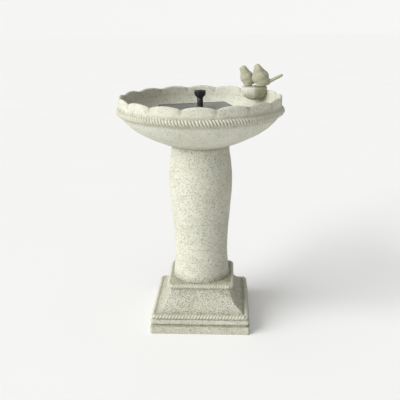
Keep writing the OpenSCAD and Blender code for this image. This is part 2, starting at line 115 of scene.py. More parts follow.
class Shade:
    """A material under construction, with short calls for the nodes used here."""

    def __init__(self, name):
        self.material = bpy.data.materials.new(name)
        self.material.use_nodes = True
        self.tree = self.material.node_tree
        self.shader = self.tree.nodes["Principled BSDF"]
        self.output = self.tree.nodes["Material Output"]
        self.point = self.node("ShaderNodeTexCoord").outputs["Object"]

    def node(self, kind, **settings):
        made = self.tree.nodes.new(kind)
        for key, value in settings.items():
            setattr(made, key, value)
        return made

    def put(self, socket, value):
        if isinstance(value, bpy.types.NodeSocket):
            self.tree.links.new(value, socket)
        else:
            socket.default_value = value

    def noise(self, scale, detail=4.0, rough=0.55, point=None, warp=0.0):
        made = self.node("ShaderNodeTexNoise")
        self.put(made.inputs["Vector"], point or self.point)
        self.put(made.inputs["Scale"], scale)
        self.put(made.inputs["Detail"], detail)
        self.put(made.inputs["Roughness"], rough)
        self.put(made.inputs["Distortion"], warp)
        return made.outputs["Fac"]

    def cells(self, scale):
        made = self.node("ShaderNodeTexVoronoi")
        self.put(made.inputs["Vector"], self.point)
        self.put(made.inputs["Scale"], scale)
        return made.outputs["Distance"], made.outputs["Color"]

    def stretch(self, x, y, z):
        made = self.node("ShaderNodeMapping")
        self.put(made.inputs["Vector"], self.point)
        self.put(made.inputs["Scale"], (x, y, z))
        return made.outputs["Vector"]

    def wave(self, scale, axis="Z", warp=0.0, point=None):
        made = self.node("ShaderNodeTexWave", bands_direction=axis)
        self.put(made.inputs["Vector"], point or self.point)
        self.put(made.inputs["Scale"], scale)
        self.put(made.inputs["Distortion"], warp)
        return made.outputs["Fac"]

    def math(self, operation, a, b=0.0, clamp=False):
        made = self.node("ShaderNodeMath", operation=operation, use_clamp=clamp)
        self.put(made.inputs[0], a)
        self.put(made.inputs[1], b)
        return made.outputs[0]

    def ramp(self, value, low, high, to_low=0.0, to_high=1.0):
        """Value stretched from low..high to to_low..to_high, clamped."""
        made = self.node("ShaderNodeMapRange")
        for socket, given in zip(made.inputs, (value, low, high, to_low, to_high)):
            self.put(socket, given)
        return made.outputs[0]

    def mix(self, amount, a, b):
        made = self.node("ShaderNodeMix", data_type="RGBA")
        colours = [s for s in made.inputs if s.type == "RGBA"]
        self.put(made.inputs[0], amount)
        self.put(colours[0], a if isinstance(a, bpy.types.NodeSocket) else (*a, 1))
        self.put(colours[1], b if isinstance(b, bpy.types.NodeSocket) else (*b, 1))
        return [s for s in made.outputs if s.type == "RGBA"][0]

    def attribute(self, name):
        return self.node("ShaderNodeAttribute", attribute_name=name).outputs["Fac"]

    def bump(self, height, distance, strength=1.0, under=None):
        made = self.node("ShaderNodeBump")
        self.put(made.inputs["Height"], height)
        self.put(made.inputs["Distance"], distance)
        self.put(made.inputs["Strength"], strength)
        if under is not None:
            self.put(made.inputs["Normal"], under)
        return made.outputs["Normal"]

    def finish(self, colour, roughness, normal=None, **constants):
        self.put(self.shader.inputs["Base Color"], colour)
        self.put(self.shader.inputs["Roughness"], roughness)
        if normal is not None:
            self.put(self.shader.inputs["Normal"], normal)
        for key, value in constants.items():
            self.shader.inputs[key.replace("_", " ")].default_value = value
        return self.material


def specks(s, scale, least, size):
    """Dark grains: 1 inside a grain. Only cells whose random value tops "least" hold one."""
    distance, colour = s.cells(scale)
    pick = s.node("ShaderNodeSeparateColor")
    s.put(pick.inputs[0], colour)
    radius = s.math("MULTIPLY", s.math("SUBTRACT", pick.outputs[0], least), size)
    inside = s.math("SUBTRACT", radius, distance)
    return s.ramp(inside, 0.0, 0.10)


# ---------------------------------------------------------------- materials

IVORY = (0.68, 0.685, 0.60)
CREAM = (0.59, 0.59, 0.49)
CHALK = (0.75, 0.755, 0.70)
# olive of the stone's wash, also used as the colour of painted shade
OLIVE_WASH_SHADE = (0.26, 0.255, 0.155)
GRAIN = (0.055, 0.055, 0.048)
TAN = (0.40, 0.35, 0.23)


def cast_stone(name, light, mid, grains):
    """Cast stone: chalky mottling, dark and tan grains, pits, and an olive colour where a mesh attribute is
    high; the olive stands for a real wash in the hollows together with painted shade.
    The mesh attribute "speckle" says how many grains a region shows."""
    s = Shade(name)
    speckle = s.attribute("speckle")
    wash_and_shade = s.attribute("wash_and_shade")
    cloud = s.noise(16, 5, 0.6)
    fine = s.noise(120, 6, 0.7)
    grit = s.noise(520, 3, 0.6)
    colour = s.mix(s.ramp(cloud, 0.35, 0.68), mid, light)
    colour = s.mix(s.ramp(fine, 0.52, 0.74, 0, 0.55), colour, CHALK)
    colour = s.mix(s.ramp(grit, 0.36, 0.52, 0.30, 0), colour, TAN)
    # olive wash and painted shade, broken up so that it never has a hard edge
    wash_shade_amount = s.math("MULTIPLY", wash_and_shade, s.ramp(s.noise(45, 5, 0.65), 0.30, 0.62, 0.45, 1.0), clamp=True)
    colour = s.mix(wash_shade_amount, colour, OLIVE_WASH_SHADE)
    if grains:
        least = s.ramp(speckle, 0, 1, 0.86, 0.24)
        small = specks(s, 430, least, 1.25)
        least_big = s.ramp(speckle, 0, 1, 0.97, 0.80)
        big = specks(s, 260, least_big, 1.6)
        patch = s.ramp(s.noise(30, 3, 0.5), 0.34, 0.60, 0.70, 1.0)
        dots = s.math("MULTIPLY", s.math("MAXIMUM", s.math("MULTIPLY", small, 0.62), big), patch)
        tan_dots = specks(s, 240, s.ramp(speckle, 0, 1, 0.92, 0.74), 1.3)
        colour = s.mix(s.math("MULTIPLY", tan_dots, 0.55), colour, TAN)
        colour = s.mix(s.math("MULTIPLY", dots, 0.97), colour, GRAIN)
        pits = s.math("SUBTRACT", 1.0, s.math("MULTIPLY", dots, 0.8))
    else:
        pits = s.ramp(fine, 0.3, 0.6)
    normal = s.bump(s.noise(60, 5, 0.65), 0.0022, 0.55)
    normal = s.bump(pits, 0.0009, 0.5, normal)
    normal = s.bump(grit, 0.0004, 0.5, normal)
    rough = s.ramp(fine, 0.3, 0.7, 0.78, 0.95)
    return s.finish(colour, rough, normal, Specular_IOR_Level=0.3)


def moulded_plastic(name, dark, light):
    s = Shade(name)
    tone = s.noise(900, 3, 0.6)
    drift = s.noise(25, 3, 0.5)
    colour = s.mix(s.ramp(drift, 0.35, 0.65), dark, light)
    rough = s.ramp(s.math("ADD", tone, drift), 0.7, 1.3, 0.32, 0.5)
    return s.finish(colour, rough, s.bump(tone, 0.0002, 0.35))


def brushed_metal(name, dark, light):
    s = Shade(name)
    line = s.noise(8, 4, 0.7, point=s.stretch(40, 40, 900))
    stain = s.noise(70, 4, 0.6)
    colour = s.mix(s.ramp(line, 0.3, 0.7), dark, light)
    rough = s.ramp(s.math("ADD", line, stain), 0.6, 1.4, 0.22, 0.5)
    return s.finish(colour, rough, s.bump(line, 0.00015, 0.4), Metallic=1.0)


def layered(name, dark, light, scale, rough):
    """Stacked sheets or wound wire: fine level lines in metal."""
    s = Shade(name)
    line = s.wave(scale)
    tone = s.noise(140, 4, 0.6)
    colour = s.mix(s.math("MULTIPLY", line, s.ramp(tone, 0.3, 0.7, 0.7, 1.0)), dark, light)
    value = s.ramp(tone, 0.3, 0.7, *rough)
    return s.finish(colour, value, s.bump(line, 0.0003, 0.7), Metallic=0.9)


def grained(name, dark, light, scale, depth, rough=(0.6, 0.85)):
    s = Shade(name)
    tone = s.noise(scale, 5, 0.65)
    colour = s.mix(s.ramp(tone, 0.35, 0.65), dark, light)
    return s.finish(colour, s.ramp(tone, 0.3, 0.7, *rough), s.bump(tone, depth, 0.5))


def foam(name):
    s = Shade(name)
    distance, _ = s.cells(420)
    tone = s.noise(90, 4, 0.6)
    colour = s.mix(s.ramp(distance, 0.1, 0.6), (0.012, 0.012, 0.014), (0.07, 0.07, 0.075))
    colour = s.mix(s.ramp(tone, 0.4, 0.7, 0, 0.4), colour, (0.10, 0.10, 0.09))
    return s.finish(colour, 0.95, s.bump(distance, 0.0016, 0.9))


def solar_cell(name):
    s = Shade(name)
    turn = s.node("ShaderNodeMapping")
    s.put(turn.inputs["Vector"], s.point)
    s.put(turn.inputs["Rotation"], (0, 0, -math.radians(PANEL_TURN)))
    fingers = s.ramp(s.wave(160, "X", point=turn.outputs["Vector"]), 0.90, 0.98)
    flakes = s.noise(60, 2, 0.4, warp=1.5)
    colour = s.mix(s.ramp(flakes, 0.3, 0.7), (0.010, 0.012, 0.030), (0.028, 0.032, 0.075))
    colour = s.mix(s.math("MULTIPLY", fingers, 0.6), colour, (0.45, 0.45, 0.47))
    return s.finish(colour, s.ramp(flakes, 0.3, 0.7, 0.28, 0.42), s.bump(flakes, 0.0001, 0.2))


def cover_glass(name):
    """Dusty, slightly grey cover: half of it lets the cells through, with no refraction to blur them."""
    s = Shade(name)
    dust = s.noise(90, 5, 0.7)
    film = s.noise(14, 4, 0.6)
    colour = s.mix(s.ramp(dust, 0.4, 0.7), (0.16, 0.165, 0.18), (0.25, 0.25, 0.26))
    rough = s.ramp(film, 0.3, 0.7, 0.22, 0.42)
    s.finish(colour, rough, s.bump(dust, 0.0001, 0.2), Coat_Weight=0.4)
    clear = s.node("ShaderNodeBsdfTransparent")
    join = s.node("ShaderNodeMixShader")
    s.put(join.inputs[0], s.ramp(film, 0.3, 0.7, 0.66, 0.78))
    s.tree.links.new(clear.outputs[0], join.inputs[1])
    s.tree.links.new(s.shader.outputs[0], join.inputs[2])
    s.tree.links.new(join.outputs[0], s.output.inputs["Surface"])
    return s.material


def circuit_board(name):
    s = Shade(name)
    distance, _ = s.cells(260)
    tracks = s.ramp(s.wave(210, "X", warp=2.0), 0.55, 0.62)
    colour = s.mix(tracks, (0.012, 0.10, 0.045), (0.03, 0.20, 0.09))
    colour = s.mix(s.ramp(distance, 0.16, 0.12), colour, (0.60, 0.55, 0.35))
    return s.finish(colour, s.ramp(distance, 0.1, 0.5, 0.3, 0.5), s.bump(tracks, 0.0001, 0.4))


PANEL_TURN = 17.0  # degrees about the bowl's axis


def make_materials():
    dark, lighter = (0.012, 0.012, 0.013), (0.024, 0.024, 0.026)
    return {
        "cast_stone": cast_stone("cast_stone", IVORY, CREAM, True),
        "bird_stone": cast_stone("bird_stone", (0.54, 0.53, 0.43), (0.42, 0.42, 0.30), False),
        "stainless": brushed_metal("stainless", (0.50, 0.50, 0.50), (0.68, 0.68, 0.69)),
        "brass": brushed_metal("brass", (0.55, 0.38, 0.13), (0.74, 0.55, 0.24)),
        "black_plastic": moulded_plastic("black_plastic", dark, lighter),
        "white_plastic": moulded_plastic("white_plastic", (0.58, 0.58, 0.55), (0.70, 0.70, 0.67)),
        "cover_glass": cover_glass("cover_glass"),
        "solar_cell": solar_cell("solar_cell"),
        "circuit_board": circuit_board("circuit_board"),
        "backsheet": grained("backsheet", (0.62, 0.62, 0.59), (0.74, 0.74, 0.71), 300, 0.0001),
        "lamination_steel": layered("lamination_steel", (0.10, 0.10, 0.11), (0.42, 0.42, 0.44), 1000,
                                    (0.35, 0.55)),
        "copper_winding": layered("copper_winding", (0.30, 0.10, 0.04), (0.80, 0.38, 0.17), 900,
                                  (0.25, 0.4)),
        "epoxy": grained("epoxy", (0.012, 0.013, 0.014), (0.03, 0.032, 0.034), 90, 0.0004, (0.2, 0.4)),
        "red_insulation": grained("red_insulation", (0.34, 0.02, 0.015), (0.46, 0.04, 0.03), 500, 0.0001),
        "rubber": grained("rubber", (0.016, 0.016, 0.016), (0.034, 0.034, 0.033), 400, 0.0002),
        "silicone": grained("silicone", (0.42, 0.09, 0.035), (0.54, 0.14, 0.06), 350, 0.0001, (0.4, 0.6)),
        "ferrite": grained("ferrite", (0.035, 0.035, 0.037), (0.075, 0.075, 0.078), 800, 0.0002,
                           (0.45, 0.7)),
        "shaft_ceramic": grained("shaft_ceramic", (0.72, 0.71, 0.66), (0.84, 0.83, 0.79), 600, 0.00005,
                                 (0.12, 0.22)),
        "foam": foam("foam"),
    }


SLOT_NODES = {
    "stainless": ["column_washers", "column_bolts", "perch_pins", "bird_pins", "cell_ribbons",
                  "tray_screws", "pump_screws"],
    "brass": ["column_inserts"],
    "black_plastic": ["panel_tray", "pump_body", "pump_plate", "filter_cage", "spray_plate"],
    "white_plastic": ["impeller", "thrust_washers"],
    "solar_cell": ["solar_cells"],
    "backsheet": ["cell_backing"],
    "circuit_board": ["control_board"],
    "lamination_steel": ["stator_core"],
    "copper_winding": ["stator_coils"],
    "epoxy": ["stator_potting"],
    "red_insulation": ["panel_leads"],
    "rubber": ["tray_seal", "riser_seal", "upper_bush", "lower_bush", "suction_feet"],
    "silicone": ["pump_seal"],
    "ferrite": ["rotor_magnet"],
    "shaft_ceramic": ["rotor_shaft"],
    "foam": ["filter_sponge"],
}


# ---------------------------------------------------------------- mesh helpers


def mark(mesh, attributes):
    """Stores {name: value per point} in the mesh for the stone's material to read."""
    for key, values in attributes.items():
        layer = mesh.attributes.new(key, "FLOAT", "POINT")
        layer.data.foreach_set("value", np.asarray(values, np.float32))


def places(mesh):
    """The mesh's points, in millimetres."""
    flat = np.zeros(len(mesh.vertices) * 3)
    mesh.vertices.foreach_get("co", flat)
    return flat.reshape(-1, 3) / MM


def mesh_object(name, points, faces, attributes=None):
    """points in millimetres; attributes is {name: value per point}."""
    mesh = bpy.data.meshes.new(name)
    mesh.from_pydata((np.asarray(points) * MM).tolist(), [], faces)
    mesh.update()
    mark(mesh, attributes or {})
    made = bpy.data.objects.new(name, mesh)
    bpy.context.scene.collection.objects.link(made)
    return made


def shade(made, sharp=40):
    made.data.polygons.foreach_set("use_smooth", [True] * len(made.data.polygons))
    made.data.set_sharp_from_angle(angle=math.radians(sharp))


def skin_faces(count, around, wrap):
    """Quads of a stack of rings; rings run anticlockwise seen from above, upwards on the outside."""
    i = np.arange(around)
    j = (i + 1) % around
    faces = []
    for k in range(count if wrap else count - 1):
        a, b = k * around, (k + 1) % count * around
        faces += np.stack([a + i, a + j, b + j, b + i], 1).tolist()
    return faces


def skin(rings, wrap=False):
    """Points and faces of a closed skin through rings, with a centre point at each end unless it wraps."""
    rings = np.asarray(rings, float)
    count, around = rings.shape[:2]
    points = rings.reshape(-1, 3)
    faces = skin_faces(count, around, wrap)
    if not wrap:
        low, high = len(points), len(points) + 1
        points = np.vstack([points, rings[0].mean(0), rings[-1].mean(0)])
        last = (count - 1) * around
        for i in range(around):
            j = (i + 1) % around
            faces.append([low, j, i])
            faces.append([high, last + i, last + j])
    return points, faces


def lathe(profile, around=96, centre=(0, 0)):
    """Rings of revolution for a profile of (radius, height)."""
    a = np.linspace(0, 2 * math.pi, around, endpoint=False)
    return np.array([
        np.stack([centre[0] + r * np.cos(a), centre[1] + r * np.sin(a), np.full(around, z)], 1)
        for r, z in profile
    ])


def arc(centre, radius, start, end, steps):
    """Points of an arc in a profile, angles in degrees."""
    a = np.radians(np.linspace(start, end, steps + 1))
    return [(centre[0] + radius * math.cos(t), centre[1] + radius * math.sin(t)) for t in a]


def ease(t):
    t = np.clip(t, 0, 1)
    return t * t * (3 - 2 * t)


def spline(control, steps):
    """A smooth curve through the control points."""
    p = np.asarray(control, float)
    out = []
    for i in range(len(p) - 1):
        a, b, c, d = p[max(0, i - 1)], p[i], p[i + 1], p[min(len(p) - 1, i + 2)]
        for k in range(steps):
            t = k / steps
            out.append(0.5 * (2 * b + (c - a) * t + (2 * a - 5 * b + 4 * c - d) * t * t
                              + (3 * b - a - 3 * c + d) * t ** 3))
    return [tuple(q) for q in out] + [tuple(p[-1])]


def unevenness(points, size, depth):
    """How far the cast surface lies under its nominal place: 0 to depth, changing over "size" mm."""
    return np.array([
        depth * min(1.0, max(0.0, 0.5 + 0.8 * noise.noise(Vector(p) / size))) for p in points
    ])


def join_parts(name, parts):
    """One object out of (points, faces, attributes) parts."""
    points, faces, attributes = [], [], {}
    start = 0
    for some_points, some_faces, some_attributes in parts:
        points.append(some_points)
        faces += [[start + i for i in face] for face in some_faces]
        for key, value in some_attributes.items():
            attributes.setdefault(key, []).append(np.broadcast_to(value, (len(some_points),)))
        start += len(some_points)
    attributes = {key: np.concatenate(values) for key, values in attributes.items()}
    return mesh_object(name, np.vstack(points), faces, attributes)


def cut(target, cutter):
    """target minus cutter, applied; the cutter is removed."""
    modifier = target.modifiers.new("cut", "BOOLEAN")
    modifier.operation = "DIFFERENCE"
    modifier.solver = "EXACT"
    modifier.object = cutter
    apply_modifiers(target)
    bpy.data.objects.remove(cutter)


def apply_modifiers(made):
    bpy.context.view_layer.update()
    evaluated = made.evaluated_get(bpy.context.evaluated_depsgraph_get())
    mesh = bpy.data.meshes.new_from_object(evaluated)
    made.modifiers.clear()
    made.data = mesh


def piece(made, body, slot_name, *replaced):
    made.data.materials.clear()
    made.data.materials.append(materials[slot_name])
    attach(made, body)
    if replaced:
        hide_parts(*replaced)
    return made


# ---------------------------------------------------------------- rope mouldings


def round_path(radius, count):
    a = np.linspace(0, 2 * math.pi, count, endpoint=False)
    out = np.stack([np.cos(a), np.sin(a)], 1)
    return radius * out, out


def square_path(half, corner, count):
    """Points evenly spaced along a square with rounded corners, with their outward directions."""
    straight = 2 * (half - corner)
    bend = math.pi / 2 * corner
    side = straight + bend
    points, outs = [], []
    for s in np.linspace(0, 4 * side, count, endpoint=False):
        k, along = divmod(s, side)
        turn = k * math.pi / 2
        if along < straight:
            p, angle = np.array([-(half - corner) + along, -half]), -math.pi / 2
        else:
            angle = -math.pi / 2 + (along - straight) / corner
            p = np.array([half - corner, -(half - corner)]) + corner * np.array(
                [math.cos(angle), math.sin(angle)])
        c, d = math.cos(turn), math.sin(turn)
        points.append([p[0] * c - p[1] * d, p[0] * d + p[1] * c])
        outs.append([math.cos(angle + turn), math.sin(angle + turn)])
    return np.array(points), np.array(outs)


ROPE_AROUND = 18
ROPE_SAMPLES = 8


def rope(path, outs, z, radius, strands, lean, depth=0.30):
    """A rope band round a closed path: twisted strands with narrow gaps between them."""
    count = len(path)
    rings = []
    wash_and_shade = []
    for k in range(ROPE_AROUND):
        angle = -2 * math.pi * k / ROPE_AROUND
        phase = strands * np.arange(count) / count - lean * angle / (2 * math.pi)
        lobe = np.abs(np.sin(math.pi * phase)) ** 0.65
        r = radius * (1 - depth * (1 - lobe))
        rings.append(np.stack([
            path[:, 0] + outs[:, 0] * r * math.cos(angle),
            path[:, 1] + outs[:, 1] * r * math.cos(angle),
            z + r * math.sin(angle),
        ], 1))
        # olive wash with painted shade in the gaps between strands
        wash_and_shade.append(np.clip(1.25 * (1 - lobe) ** 1.2, 0, 1))
    points, faces = skin(rings[::-1], wrap=True)
    wash_and_shade = np.concatenate(wash_and_shade[::-1])
    return points, faces, {"speckle": 0.5, "wash_and_shade": 0.10 + 0.9 * wash_and_shade}


# ---------------------------------------------------------------- base

SIDE_STEPS = 36
CORNER_STEPS = 10


def square_ring(z, half, corner):
    """One level of a square moulding with rounded corners."""
    inner = half - corner
    side = [(t * inner, -half) for t in np.linspace(-1, 1, SIDE_STEPS + 1)]
    for k in range(1, CORNER_STEPS):
        angle = -math.pi / 2 + k / CORNER_STEPS * math.pi / 2
        side.append((inner + corner * math.cos(angle), -inner + corner * math.sin(angle)))
    ring = []
    for turn in range(4):
        c, s = math.cos(turn * math.pi / 2), math.sin(turn * math.pi / 2)
        ring += [(x * c - y * s, x * s + y * c, z) for x, y in side]
    return np.array(ring)


def bead_rings(half, z0, z1, corner):
    """A half-round moulding round a square."""
    radius = (z1 - z0) / 2
    return [
        square_ring(z0 + radius + radius * math.sin(a), half - radius * (1 - math.cos(a)), corner)
        for a in np.linspace(-math.pi / 2, math.pi / 2, 13)
    ]


# half width and height of the hollow-curved bell
BELL = [(127, 53), (126, 54.5), (118, 60.5), (111.5, 65), (106, 70), (101.5, 75), (97, 81), (92.5, 90),
        (88.5, 102), (86, 114), (85.5, 119)]
BASE_WALL = 11
HEAD_HALF = 95.5
HEAD_CORNER = 16


def make_base():
    _, (half, _, deck) = node_box("base_plinth")
    slab_top, bead_low, rope_low, bell_low, rope_high, under_deck = 22, 25, 42, 56, 117.5, 121.5
    bell = spline(BELL, 4)
    cavity = half - BASE_WALL - 1
    inside = [square_ring(under_deck, 10, 3), square_ring(under_deck, 74, 4)]
    inside += [square_ring(z, w - BASE_WALL, 4) for w, z in bell[::-1] if bell_low < z < 110]
    inside += [
        square_ring(rope_low - 1, 117, 5), square_ring(rope_low - 1, cavity, 8),
        square_ring(2, cavity, 8), square_ring(0, cavity + 1, 8),
    ]
    outside = [
        square_ring(0, half - 1.2, 6), square_ring(0.6, half - 0.3, 6), square_ring(2, half, 6),
        square_ring(10, half - 0.2, 6), square_ring(18, half - 0.4, 6), square_ring(20.6, half - 1.2, 6),
        square_ring(slab_top, half - 3, 6), square_ring(slab_top + 0.6, half - 6, 6),
        square_ring(bead_low - 0.3, half - 6.4, 6),
    ]
    outside += bead_rings(half - 2.5, bead_low, rope_low, 7)
    outside += [square_ring(rope_low + 1, half - 10, 6), square_ring(bell_low - 4, half - 10, 6)]
    outside += [square_ring(z, w, 4) for w, z in bell]
    outside += [
        square_ring(rope_high + 1.6, 88, HEAD_CORNER), square_ring(deck - 2, 88.5, HEAD_CORNER),
        square_ring(deck - 0.4, 88, HEAD_CORNER), square_ring(deck, 86, HEAD_CORNER),
        square_ring(deck, 40, 8),
    ]
    points, faces = skin(inside + outside)
    points[:, :2] *= (1 - unevenness(points, 34, 0.9)[:, None] / half)
    z = points[:, 2]
    speckle = np.where(z > bell_low - 4, 1.0, 0.85)
    # an even olive tone, with painted shade added: in the groove above the slab and under both ropes (with
    # a real wash there too), on the top deck round the column's foot, and on the +X side away from the key
    # light
    wash_and_shade = 0.27 + 0.55 * np.exp(-((z - slab_top - 1.5) / 2.2) ** 2)
    wash_and_shade += 0.35 * np.exp(-((z - bell_low) / 4.0) ** 2)
    wash_and_shade += 0.45 * np.exp(-((z - rope_high) / 4.0) ** 2) + 0.30 * (z > deck - 3)
    wash_and_shade += 0.16 * ease((points[:, 0] - np.abs(points[:, 1])) / 12)
    parts = [(points, faces, {"speckle": speckle, "wash_and_shade": wash_and_shade})]
    for edge, z, radius, corner, strands in (
        (half - 4.5, (rope_low + bell_low) / 2, 7.0, 6, 116),
        (HEAD_HALF, (rope_high + deck) / 2, 6.2, 12, 96),
    ):
        path, outs = square_path(edge - radius, corner, strands * ROPE_SAMPLES)
        parts.append(rope(path, outs, z, radius, strands, 2))
    shell = join_parts("base_casting", parts)
    shade(shell, 35)
    return piece(shell, "pedestal", "cast_stone", "base_plinth")


# ---------------------------------------------------------------- column


# radius and height of the column's outline
COLUMN = [(82.4, 130), (78.6, 170), (76.6, 214), (78.8, 270), (84, 330), (90, 410), (87, 468), (82, 503),
          (82, 521.2)]
COLUMN_WALL = 8


def make_column():
    low, high = node_box("column")
    bottom, top = low[2], high[2]
    line = spline(COLUMN, 9)
    neck = line[-1][0]
    outer = [(line[0][0] - 0.8, bottom), (line[0][0], bottom + 0.8)]
    outer += [(r, z) for r, z in line if bottom + 2 < z < top - 2]
    outer += [(neck, top - 1.5), (neck - 0.5, top - 0.4), (neck - 1.6, top)]
    spigot, socket, flange = 62.0, 495.5, 142.0
    inner = [(spigot + 0.8, top), (spigot, top - 0.8), (spigot, socket)]
    inner += [(r - COLUMN_WALL, z) for r, z in line[::-1] if flange + 8 < z < socket - 8]
    inner += [(71, flange), (30.8, flange), (30, flange - 0.8), (30, bottom + 0.8), (30.8, bottom)]
    rings = lathe(outer + inner, 160)
    points, faces = skin(rings, wrap=True)
    points[:, :2] *= 1 - unevenness(points, 42, 0.7)[:, None] / neck
    z = points[:, 2]
    # painted shade: darker at the foot where the column meets the base, at the top under the bowl, and on
    # the +X side away from the key light
    wash_and_shade = 0.12 + 0.5 * ease((bottom + 22 - z) / 22) + 0.35 * ease((z - top + 16) / 16)
    wash_and_shade += 0.12 * ease(points[:, 0] / neck)
    made = join_parts("column_casting", [(points, faces, {"speckle": 0.76, "wash_and_shade": wash_and_shade})])
    shade(made, 40)
    return piece(made, "pedestal", "cast_stone", "column")


# ---------------------------------------------------------------- bowl

BOWL_AROUND = 544
BOWL_Z = 521.5  # where the bowl rests on the column
SPIGOT_R = 61.5
SCALLOPS = 16
VALLEY = math.radians(-99.5)  # direction of one valley
RIM_Z = 657.5
RIM_R = 224.0
RIM_WALL = 10.0
INNER_R = RIM_R - RIM_WALL
DROP = 6.5  # from the scallops' peaks to their valleys
ROPE_Z = 618.0
ROPE_R = 9.0
BOWL_OUTSIDE = [(82, BOWL_Z), (115, 533), (147, 548), (177, 564.5), (202, 585), (218, 604), (RIM_R, 619)]
BOWL_INSIDE = [(95, 539.5), (120, 546), (145, 558.5), (172, 574), (194, 593), (INNER_R - 5, 611),
               (INNER_R, 629)]


def scallop_shape(angles):
    """How far the rim is below its peaks, and how deep in a valley the point is (0 to 1)."""
    step = 2 * math.pi / SCALLOPS
    half_chord = RIM_R * math.sin(step / 2)
    arch = (half_chord ** 2 + DROP ** 2) / (2 * DROP)
    off = np.abs((angles - VALLEY + step / 2) % step - step / 2)
    x = np.minimum(half_chord, RIM_R * np.sin(off))
    drop = arch - np.sqrt(arch ** 2 - (half_chord - x) ** 2)
    crease = np.exp(-x / 6.0)
    return drop, crease


def make_bowl():
    _, high = node_box("bowl")
    angles = np.linspace(0, 2 * math.pi, BOWL_AROUND, endpoint=False)
    drop, crease = scallop_shape(angles)
    outside = spline(BOWL_OUTSIDE, 7)
    inside = spline(BOWL_INSIDE, 7)
    recess_r, recess_top, foot = SPIGOT_R - 10, BOWL_Z + 9, BOWL_Z - 20
    spigot = [
        (20, recess_top), (recess_r - 1, recess_top), (recess_r, recess_top - 1), (recess_r, foot + 1),
        (recess_r + 1, foot), (SPIGOT_R - 1, foot), (SPIGOT_R, foot + 1), (SPIGOT_R, BOWL_Z - 1),
        (SPIGOT_R + 0.9, BOWL_Z), (80.6, BOWL_Z),
    ]
    rings = [(r, np.full(BOWL_AROUND, z), 0.0) for r, z in spigot]
    rings += [(r, np.full(BOWL_AROUND, z), 0.0) for r, z in outside]
    lip = RIM_WALL / 2
    wall_z = BOWL_INSIDE[-1][1]
    crown = RIM_Z - drop - lip
    for v in np.linspace(0, 1, 11):
        rings.append((RIM_R, wall_z + (crown - wall_z) * v, ease(v * 1.1)))
    for angle in np.radians(np.linspace(15, 165, 11)):
        rings.append((RIM_R - lip + lip * math.cos(angle), crown + lip * math.sin(angle), 1.0))
    for v in np.linspace(1, 0, 11):
        rings.append((INNER_R, wall_z + (crown - wall_z) * v, ease(v * 1.1)))
    rings += [(r, np.full(BOWL_AROUND, z), 0.0) for r, z in inside[-2::-1]]
    rings.append((60, np.full(BOWL_AROUND, 539.2), 0.0))
    rings.append((20, np.full(BOWL_AROUND, 539.1), 0.0))
    made_rings, lobed = [], []
    for r, z, amount in rings:
        sign = 1 if r > RIM_R - lip else -1
        bulge = sign * amount * (-2.6 * crease - 0.10 * drop * (1 if sign > 0 else 0))
        now = r + bulge
        made_rings.append(np.stack([now * np.cos(angles), now * np.sin(angles), z], 1))
        lobed.append(amount * crease)
    points, faces = skin(made_rings)
    points[:, :2] *= 1 - unevenness(points, 30, 0.9)[:, None] / RIM_R
    lobed = np.concatenate(lobed + [[0, 0]])
    z = points[:, 2]
    r = np.hypot(points[:, 0], points[:, 1])
    # olive wash and painted shade in the scallop valleys, painted shade under the rope and in the crease
    # above it, darker towards the bottom of the underside, and only a little of it inside the basin
    wash_and_shade = 0.08 + 0.55 * lobed
    wash_and_shade += 0.45 * np.exp(-((z - 607) / 5.0) ** 2) * (r > 210) + 0.4 * np.exp(-((z - 629.5) / 4.0) ** 2)
    wash_and_shade += 0.30 * ease((575 - z) / 50)
    wash_and_shade *= np.where((r < RIM_R - 9) & (z > 538), 0.3, 1.0)
    body = (points, faces, {"speckle": 0.56, "wash_and_shade": wash_and_shade})
    strands = 168
    path, outs = round_path(high[0] - ROPE_R, strands * ROPE_SAMPLES)
    band = rope(path, outs, ROPE_Z, ROPE_R, strands, -2, 0.36)
    made = join_parts("bowl_casting", [body, band])
    shade(made, 45)
    return piece(made, "bowl", "cast_stone", "bowl")


PERCH_CENTRE = (151.4, 117.4)
PERCH_R = 38.0
RIM_GAP = 0.3


def make_perch():
    low, high = node_box("perch")
    bottom, top = low[2], high[2]
    shoulder = top - 8
    profile = [
        (PERCH_R * math.sin(a), shoulder - (shoulder - bottom) * math.cos(a))
        for a in np.radians(np.linspace(10, 90, 17))
    ]
    profile += arc((PERCH_R - 3, top - 3), 3, 0, 90, 6) + [(22, top - 0.1), (8, top - 0.2)]
    drum = mesh_object("perch_casting", *skin(lathe(profile, 120, PERCH_CENTRE)))
    near, far, under, over = INNER_R - RIM_GAP, RIM_R + 30, bottom - 47, RIM_Z + RIM_GAP
    saddle = [(near, under), (far, under), (far, over), (near, over)]
    cut(drum, mesh_object("saddle", *skin(lathe(saddle, 256), wrap=True)))
    x, _, z = places(drum.data).T
    # painted shade: darker lower down, and on the +X half away from the key light with a sharp edge at the
    # middle; painted contact shadow along the lower edge against the bowl
    wash_and_shade = 0.06 + 0.15 * ease((shoulder - 4 - z) / 20) + 0.8 * ease((x - PERCH_CENTRE[0]) / 3)
    wash_and_shade += 0.9 * ease((bottom + 8 - z) / 4)
    mark(drum.data, {"speckle": np.full(len(x), 0.4), "wash_and_shade": wash_and_shade})
    shade(drum, 40)
    return piece(drum, "bowl", "cast_stone", "perch")


# ---------------------------------------------------------------- birds


def ball(parts, centre, radii, tilt=0.0, yaw=0.0):
    """Adds an ellipsoid, in millimetres; tilt turns it about Y and yaw about Z, in degrees."""
    parts.append((centre, radii, tilt, yaw))


